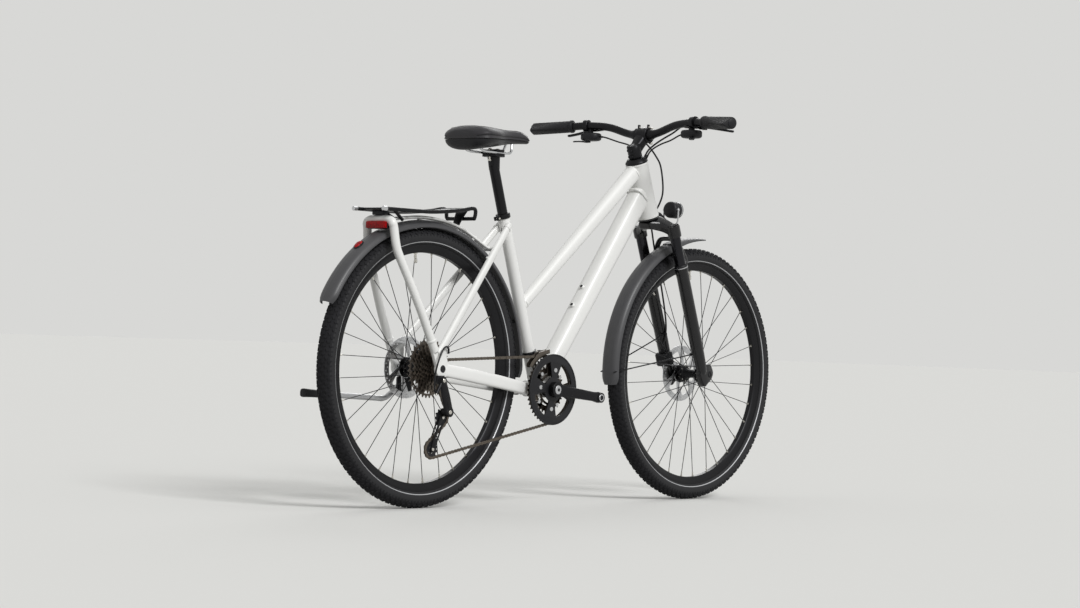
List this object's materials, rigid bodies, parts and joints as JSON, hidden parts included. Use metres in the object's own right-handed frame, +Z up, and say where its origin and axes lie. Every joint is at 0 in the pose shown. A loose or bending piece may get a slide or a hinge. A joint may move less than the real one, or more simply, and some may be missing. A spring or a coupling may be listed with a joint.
{
  "type": "hybrid bicycle",
  "caption": "Step-through hybrid bicycle with suspension fork, mudguards, rear carrier, lamps, disc brakes, derailleur gears, fold-up kickstand and adjustable saddle.",
  "frame": {"origin": "on the ground midway between the two axles, in the bicycle's middle plane", "axes": "+X forward, +Y to the bicycle's left, +Z up; the drive is on the right at negative Y"},
  "size_m": [1.84, 0.7226, 1.0669],
  "materials": {
    "frame_paint": "gloss white",
    "black_alloy": "satin black",
    "deck_alloy": "satin black",
    "spoke_steel": "drawn wire",
    "rotor_steel": "ground",
    "drive_steel": "oiled",
    "fork_steel": "satin black",
    "tyre_rubber": "matt",
    "grip_rubber": "matt",
    "guard_plastic": "satin dark grey",
    "black_plastic": "satin",
    "hose_black": "gloss",
    "red_lens": "moulded prisms",
    "saddle_skin": "matt synthetic skin",
    "stand_alloy": "brushed"
  },
  "bodies": {
    "frame": {"head_tube": "frame_paint", "top_tube": "frame_paint", "down_tube": "frame_paint", "seat_tube": "frame_paint", "chainstay_left": "frame_paint", "chainstay_right": "frame_paint", "seatstays": "frame_paint", "carrier_hoop": "frame_paint", "carrier_deck": "deck_alloy", "rear_mudguard": "guard_plastic", "rear_light": "black_plastic", "rear_reflector": "red_lens", "seat_collar": "black_alloy", "front_derailleur": "black_alloy", "rear_derailleur_mount": "black_alloy", "rear_shift_housing": "hose_black", "rear_caliper": "black_alloy", "kickstand_bracket": "black_alloy", "chain": "drive_steel"},
    "seatpost_and_saddle": {"seatpost": "black_alloy", "saddle_base": "black_plastic", "saddle_cover": "saddle_skin"},
    "steering_assembly": {"fork_crown": "fork_steel", "stem": "black_alloy", "headset_cover": "black_alloy", "handlebar": "black_alloy", "grip_left": "grip_rubber", "grip_right": "grip_rubber", "lever_mount_left": "black_alloy", "lever_mount_right": "black_alloy", "headlight": "black_plastic", "shift_housing_left": "hose_black", "shift_housing_right": "hose_black", "rear_brake_hose": "hose_black", "front_brake_hose": "hose_black"},
    "fork_slider": {"fork_lowers": "black_alloy", "front_caliper": "black_alloy", "front_mudguard": "guard_plastic"},
    "front_wheel": {"front_tyre": "tyre_rubber", "front_rim": "black_alloy", "front_spokes": "spoke_steel", "front_rotor": "rotor_steel"},
    "rear_wheel": {"rear_tyre": "tyre_rubber", "rear_rim": "black_alloy", "rear_spokes": "spoke_steel", "rear_rotor": "rotor_steel"},
    "sprockets": {"cassette": "drive_steel"},
    "crankset": {"crank_right": "black_alloy", "crank_left": "black_alloy", "chainrings": "drive_steel"},
    "kickstand": {"kickstand_leg": "stand_alloy"},
    "front_changer_cage": {"front_derailleur_cage": "drive_steel"},
    "rear_changer_arm": {"rear_derailleur_arm": "black_alloy"},
    "rear_changer_cage": {"rear_derailleur_cage": "drive_steel"},
    "upper_pulley": {"guide_pulley": "black_plastic"},
    "lower_pulley": {"tension_pulley": "black_plastic"},
    "right_brake_lever": {"brake_lever_right": "black_alloy"},
    "left_brake_lever": {"brake_lever_left": "black_alloy"},
    "right_trigger": {"shift_trigger_right": "black_plastic"},
    "left_trigger": {"shift_trigger_left": "black_plastic"}
  },
  "joints": [
    {"name": "steering", "type": "hinge", "parent": "frame", "child": "steering_assembly", "pos_m": [0.28579, 0, 0.94163], "axis": [-0.3584, 0, 0.9336], "range_deg": [-60, 60]},
    {"name": "fork_travel", "type": "slide", "parent": "steering_assembly", "child": "fork_slider", "axis": [-0.3584, 0, 0.9336], "range_m": [0, 0.06], "stiffness_N_per_m": 9000, "deforming": ["front_brake_hose"]},
    {"name": "front_wheel_spin", "type": "hinge", "parent": "fork_slider", "child": "front_wheel", "pos_m": [0.5625, 0, 0.3575], "axis": [0, 1, 0], "continuous": true},
    {"name": "rear_wheel_spin", "type": "hinge", "parent": "frame", "child": "rear_wheel", "pos_m": [-0.5625, 0, 0.3575], "axis": [0, 1, 0], "continuous": true},
    {"name": "crank_spin", "type": "hinge", "parent": "frame", "child": "crankset", "pos_m": [-0.1105, 0, 0.3085], "axis": [0, 1, 0], "continuous": true},
    {"name": "cassette_spin", "type": "hinge", "parent": "frame", "child": "sprockets", "pos_m": [-0.5625, 0, 0.3575], "axis": [0, 1, 0], "continuous": true},
    {"name": "seat_height", "type": "slide", "parent": "frame", "child": "seatpost_and_saddle", "axis": [-0.3206, 0, 0.9472], "range_m": [-0.08, 0.06]},
    {"name": "kickstand_fold", "type": "hinge", "parent": "frame", "child": "kickstand", "pos_m": [-0.5565, 0.0905, 0.2995], "axis": [-0.0177, -0.9526, -0.3039], "range_deg": [0, 97]},
    {"name": "front_changer_shift", "type": "slide", "parent": "frame", "child": "front_changer_cage", "axis": [0, 1, 0], "range_m": [0, 0.0072], "deforming": ["chain"]},
    {"name": "rear_changer_shift", "type": "slide", "parent": "frame", "child": "rear_changer_arm", "axis": [0, 1, 0], "range_m": [0, 0.0348], "deforming": ["chain"]},
    {"name": "rear_changer_cage_swing", "type": "hinge", "parent": "rear_changer_arm", "child": "rear_changer_cage", "pos_m": [-0.5415, -0.0655, 0.2485], "axis": [0, 1, 0], "range_deg": [-60, 25], "stiffness_Nm_per_rad": 0.35, "deforming": ["chain"]},
    {"name": "upper_pulley_spin", "type": "hinge", "parent": "rear_changer_cage", "child": "upper_pulley", "pos_m": [-0.5455, -0.0655, 0.234], "axis": [0, 1, 0], "continuous": true},
    {"name": "lower_pulley_spin", "type": "hinge", "parent": "rear_changer_cage", "child": "lower_pulley", "pos_m": [-0.5795, -0.0655, 0.1535], "axis": [0, 1, 0], "continuous": true},
    {"name": "brake_pull_right", "type": "hinge", "parent": "steering_assembly", "child": "right_brake_lever", "pos_m": [0.32593, -0.204, 1.0402], "axis": [0, 0, -1], "range_deg": [0, 18], "stiffness_Nm_per_rad": 1.2},
    {"name": "brake_pull_left", "type": "hinge", "parent": "steering_assembly", "child": "left_brake_lever", "pos_m": [0.32593, 0.204, 1.0402], "axis": [0, 0, 1], "range_deg": [0, 18], "stiffness_Nm_per_rad": 1.2},
    {"name": "shift_push_right", "type": "hinge", "parent": "steering_assembly", "child": "right_trigger", "pos_m": [0.29233, -0.186, 1.00781], "axis": [0, 0, 1], "range_deg": [0, 25], "stiffness_Nm_per_rad": 0.15},
    {"name": "shift_push_left", "type": "hinge", "parent": "steering_assembly", "child": "left_trigger", "pos_m": [0.29233, 0.186, 1.00781], "axis": [0, 0, -1], "range_deg": [0, 25], "stiffness_Nm_per_rad": 0.15}
  ],
  "couplings": [
    {"joint": "cassette_spin", "follows": "crank_spin", "ratio": 4},
    {"joint": "upper_pulley_spin", "follows": "crank_spin", "ratio": -4},
    {"joint": "lower_pulley_spin", "follows": "crank_spin", "ratio": 4}
  ]
}
